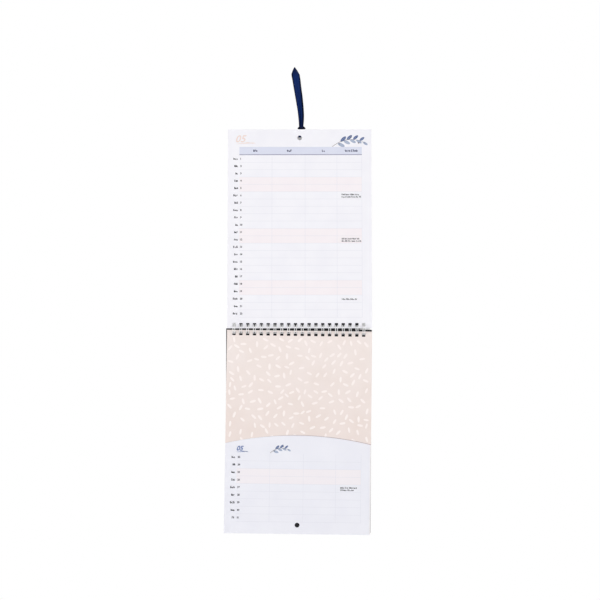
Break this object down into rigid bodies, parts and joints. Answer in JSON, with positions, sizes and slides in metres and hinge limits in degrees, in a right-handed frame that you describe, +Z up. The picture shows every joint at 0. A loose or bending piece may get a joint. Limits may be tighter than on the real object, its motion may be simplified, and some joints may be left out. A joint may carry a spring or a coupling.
{
  "type": "wall calendar",
  "caption": "Ribbon-hung wall calendar with twin-loop wire binding, open at one month, with a pocket-fronted leaf below the wire and turned-up leaves above.",
  "frame": {"origin": "inside of the ribbon loop's top, where the calendar hangs", "axes": "+X to the right of the pages, +Y into the wall, +Z up along the hanging calendar"},
  "size_m": [0.1833, 0.0143, 0.5836],
  "materials": {
    "wire": "white coated wire",
    "cover": "smooth dark card",
    "paper": "uncoated white paper",
    "pocket_card": "uncoated white card",
    "glue": "white glue on paper",
    "dark_card": "near-black card",
    "ribbon": "navy satin ribbon",
    "header_print": "pale blue print",
    "line_print": "slate blue print",
    "weekend_print": "pale pink print",
    "rule_print": "fine grey print",
    "peach_print": "peach print"
  },
  "bodies": {
    "root": {"front_cover": "cover", "wire_binding": "wire", "hanging_ribbon": "ribbon"},
    "turned_pages": {"turned_leaves": "paper", "header_bar": "header_print", "header_line": "line_print", "page_weekend_bands": "weekend_print", "page_column_rules": "rule_print"},
    "remaining_pages": {"remaining_leaves": "paper"},
    "open_leaf": {"lower_leaf": "paper", "pocket_front": "pocket_card", "pocket_glue_left": "glue", "pocket_glue_right": "glue", "pocket_glue_foot": "glue", "peach_field": "peach_print", "pocket_weekend_bands": "weekend_print", "pocket_column_rules": "rule_print"},
    "rear_cover": {"back_cover": "dark_card"}
  },
  "joints": [
    {"name": "turned_pages_turn", "type": "hinge", "parent": "root", "child": "turned_pages", "pos_m": [0.0054, -0.0055, -0.33024], "axis": [1, 0, -0.0073], "range_deg": [0, 180]},
    {"name": "remaining_pages_turn", "type": "hinge", "parent": "root", "child": "remaining_pages", "pos_m": [0.0054, -0.0055, -0.33024], "axis": [-1, 0, 0.0073], "range_deg": [0, 180]},
    {"name": "open_leaf_turn", "type": "hinge", "parent": "remaining_pages", "child": "open_leaf", "pos_m": [0.0054, -0.0055, -0.33024], "axis": [-1, 0, 0.0073], "range_deg": [0, 180]},
    {"name": "rear_cover_turn", "type": "hinge", "parent": "root", "child": "rear_cover", "pos_m": [0.0054, -0.00281, -0.33024], "axis": [1, 0, -0.0073], "range_deg": [0, 178]}
  ]
}
